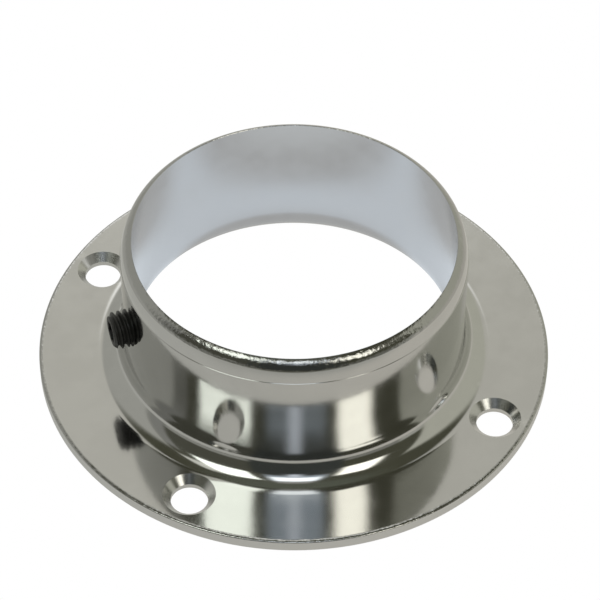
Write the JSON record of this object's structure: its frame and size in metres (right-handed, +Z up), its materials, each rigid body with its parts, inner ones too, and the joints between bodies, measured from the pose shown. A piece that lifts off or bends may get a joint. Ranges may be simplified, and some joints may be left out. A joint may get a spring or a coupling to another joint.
{
  "type": "tube clamp base flange",
  "caption": "Round drawn-metal base flange with a tall collar for an upright tube, countersunk fixing holes and a side set screw.",
  "frame": {"origin": "centre of the flange's flat underside, on the tube's axis", "axes": "+Z up along the collar and tube; the fixing holes lie on the diagonals between X and Y; the set screw points along -X"},
  "size_m": [0.082, 0.082, 0.026],
  "materials": {
    "plated_steel": "bright nickel-chrome plate, polished outside, satin inside and underneath",
    "black_steel": "black oxide"
  },
  "bodies": {
    "root": {"flange": "plated_steel", "set_screw": "black_steel"}
  },
  "joints": []
}
